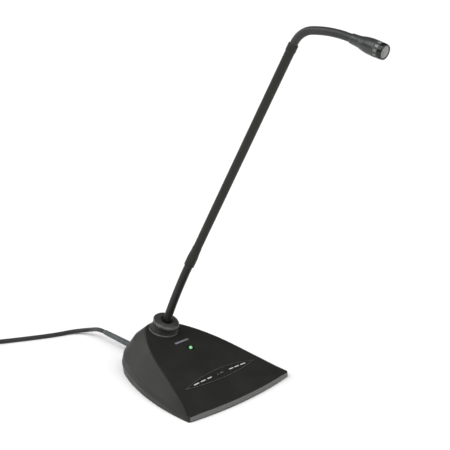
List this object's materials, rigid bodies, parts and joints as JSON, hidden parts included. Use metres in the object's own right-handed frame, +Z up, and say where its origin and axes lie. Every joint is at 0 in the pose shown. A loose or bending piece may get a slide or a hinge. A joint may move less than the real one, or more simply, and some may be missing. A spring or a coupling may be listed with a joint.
{
  "type": "desktop gooseneck microphone",
  "caption": "Desktop gooseneck microphone on a heavy curved base, with a long mute bar, a status lamp and a coiled cable.",
  "frame": {"origin": "on the underside of the rubber pad, on the mirror plane of the base, near the middle of its footprint", "axes": "+Z up, -Y towards the talker (the side with the mute bar and the head), +X to the talker's left when facing the base's front, so to the right seen from the talker"},
  "size_m": [0.2938, 0.5144, 0.3834],
  "materials": {
    "housing_plastic": "fine matte texture",
    "plate_plastic": "moulded",
    "pad_rubber": "matte",
    "ballast_iron": "as cast, painted",
    "board": "solder mask",
    "component_black": "moulded",
    "screw_steel": "zinc plated",
    "bar_plastic": "semi-gloss",
    "mark_white": "light guides",
    "lamp_green": "translucent lens",
    "bezel_black": "gloss",
    "badge_metal": "satin",
    "relief_rubber": "ribbed matte",
    "mount_rubber": "matte",
    "mount_plastic": "satin",
    "mount_steel": "machined",
    "mount_brass": "machined",
    "stem_paint": "fine satin paint",
    "vent_mesh": "woven",
    "grille_mesh": "perforated",
    "cord_rubber": "matte sheath",
    "tie_plastic": "ribbed strap",
    "plug_nickel": "satin nickel",
    "pin_gold": "plated"
  },
  "bodies": {
    "base": {"base_housing": "housing_plastic", "bottom_plate": "plate_plastic", "rubber_pad": "pad_rubber", "plate_screws": "screw_steel", "ballast_weight": "ballast_iron", "main_board": "board", "board_components": "component_black", "board_screws": "screw_steel", "switch_bodies": "component_black", "status_lamp": "lamp_green", "lamp_bezel": "bezel_black", "badge_bar": "badge_metal", "selector_body": "component_black", "strain_relief": "relief_rubber", "mount_ring": "mount_plastic", "mount_neck": "mount_rubber", "mount_flange": "mount_steel", "stem_cap": "mount_plastic", "cap_grommet": "mount_rubber", "mount_nut": "mount_brass", "stem_socket": "mount_steel", "lower_link_0": "stem_paint", "cord_cable": "cord_rubber", "cord_coil": "cord_rubber", "cord_tail": "cord_rubber", "cable_tie": "tie_plastic", "plug_shell": "plug_nickel", "plug_insert": "component_black", "plug_pins": "pin_gold", "plug_boot": "relief_rubber"},
    "mute_bar": {"switch_bar": "bar_plastic", "switch_marks": "mark_white", "switch_plungers": "mark_white"},
    "selector_1": {"selector_slider_1": "mark_white"},
    "selector_2": {"selector_slider_2": "mark_white"},
    "selector_3": {"selector_slider_3": "mark_white"},
    "lower_link_1": {"lower_link_1": "stem_paint"},
    "lower_link_2": {"lower_link_2": "stem_paint"},
    "lower_link_3": {"lower_link_3": "stem_paint"},
    "lower_link_4": {"lower_link_4": "stem_paint"},
    "tube": {"lower_link_5": "stem_paint", "coupling_sleeve": "stem_paint", "rigid_tube": "stem_paint", "tube_collar": "stem_paint", "upper_link_0": "stem_paint"},
    "upper_link_1": {"upper_link_1": "stem_paint"},
    "upper_link_2": {"upper_link_2": "stem_paint"},
    "upper_link_3": {"upper_link_3": "stem_paint"},
    "upper_link_4": {"upper_link_4": "stem_paint"},
    "upper_link_5": {"upper_link_5": "stem_paint"},
    "upper_link_6": {"upper_link_6": "stem_paint"},
    "upper_link_7": {"upper_link_7": "stem_paint"},
    "head": {"upper_link_8": "stem_paint", "neck_adapter": "stem_paint", "head_body": "stem_paint", "vent_band": "stem_paint", "vent_screen": "vent_mesh", "head_bezel": "stem_paint", "grille": "grille_mesh", "capsule": "component_black"}
  },
  "joints": [
    {"name": "mute_press", "type": "slide", "parent": "base", "child": "mute_bar", "axis": [0, 0.3257, -0.9455], "range_m": [0, 0.0007], "stiffness_N_per_m": 900, "springref_m": -0.0011},
    {"name": "selector_slide_1", "type": "slide", "parent": "base", "child": "selector_1", "axis": [0, 1, 0], "range_m": [0, 0.002]},
    {"name": "selector_slide_2", "type": "slide", "parent": "base", "child": "selector_2", "axis": [0, 1, 0], "range_m": [0, 0.002]},
    {"name": "selector_slide_3", "type": "slide", "parent": "base", "child": "selector_3", "axis": [0, 1, 0], "range_m": [0, 0.002]},
    {"name": "lower_pitch_1", "type": "hinge", "parent": "base", "child": "lower_link_1", "pos_m": [0, 0.03153, 0.06862], "axis": [1, 0, 0], "range_deg": [-13, 10]},
    {"name": "lower_side_2", "type": "hinge", "parent": "lower_link_1", "child": "lower_link_2", "pos_m": [0, 0.02479, 0.08313], "axis": [0, 0.9022, 0.4312], "range_deg": [-16, 16]},
    {"name": "lower_pitch_3", "type": "hinge", "parent": "lower_link_2", "child": "lower_link_3", "pos_m": [0, 0.01773, 0.09749], "axis": [1, 0, 0], "range_deg": [-13, 10]},
    {"name": "lower_side_4", "type": "hinge", "parent": "lower_link_3", "child": "lower_link_4", "pos_m": [0, 0.01037, 0.11169], "axis": [0, 0.8828, 0.4698], "range_deg": [-16, 16]},
    {"name": "lower_pitch_5", "type": "hinge", "parent": "lower_link_4", "child": "tube", "pos_m": [0, 0.0027, 0.12574], "axis": [1, 0, 0], "range_deg": [-13, 10]},
    {"name": "upper_pitch_1", "type": "hinge", "parent": "tube", "child": "upper_link_1", "pos_m": [0, -0.1365, 0.36869], "axis": [1, 0, 0], "range_deg": [-11.9, 6.3]},
    {"name": "upper_pitch_2", "type": "hinge", "parent": "upper_link_1", "child": "upper_link_2", "pos_m": [0, -0.14198, 0.37446], "axis": [1, 0, 0], "range_deg": [-17, 9]},
    {"name": "upper_pitch_3", "type": "hinge", "parent": "upper_link_2", "child": "upper_link_3", "pos_m": [0, -0.14901, 0.37821], "axis": [1, 0, 0], "range_deg": [-17, 9]},
    {"name": "upper_pitch_4", "type": "hinge", "parent": "upper_link_3", "child": "upper_link_4", "pos_m": [0, -0.15686, 0.37959], "axis": [1, 0, 0], "range_deg": [-8.5, 4.5]},
    {"name": "upper_side_5", "type": "hinge", "parent": "upper_link_4", "child": "upper_link_5", "pos_m": [0, -0.16586, 0.3797], "axis": [0, -0.0225, 0.9997], "range_deg": [-18, 18]},
    {"name": "upper_pitch_6", "type": "hinge", "parent": "upper_link_5", "child": "upper_link_6", "pos_m": [0, -0.17484, 0.37918], "axis": [1, 0, 0], "range_deg": [-4.25, 2.25]},
    {"name": "upper_side_7", "type": "hinge", "parent": "upper_link_6", "child": "upper_link_7", "pos_m": [0, -0.18377, 0.37804], "axis": [0, -0.161, 0.987], "range_deg": [-18, 18]},
    {"name": "upper_pitch_8", "type": "hinge", "parent": "upper_link_7", "child": "head", "pos_m": [0, -0.19259, 0.37629], "axis": [1, 0, 0], "range_deg": [-4.25, 2.25]}
  ],
  "couplings": [
    {"joint": "lower_pitch_3", "follows": "lower_pitch_1", "ratio": 1},
    {"joint": "lower_pitch_5", "follows": "lower_pitch_1", "ratio": 1},
    {"joint": "lower_side_4", "follows": "lower_side_2", "ratio": 1},
    {"joint": "upper_pitch_1", "follows": "upper_pitch_2", "ratio": 0.7},
    {"joint": "upper_pitch_3", "follows": "upper_pitch_2", "ratio": 1},
    {"joint": "upper_pitch_4", "follows": "upper_pitch_2", "ratio": 0.5},
    {"joint": "upper_pitch_6", "follows": "upper_pitch_2", "ratio": 0.25},
    {"joint": "upper_pitch_8", "follows": "upper_pitch_2", "ratio": 0.25},
    {"joint": "upper_side_7", "follows": "upper_side_5", "ratio": 1}
  ]
}
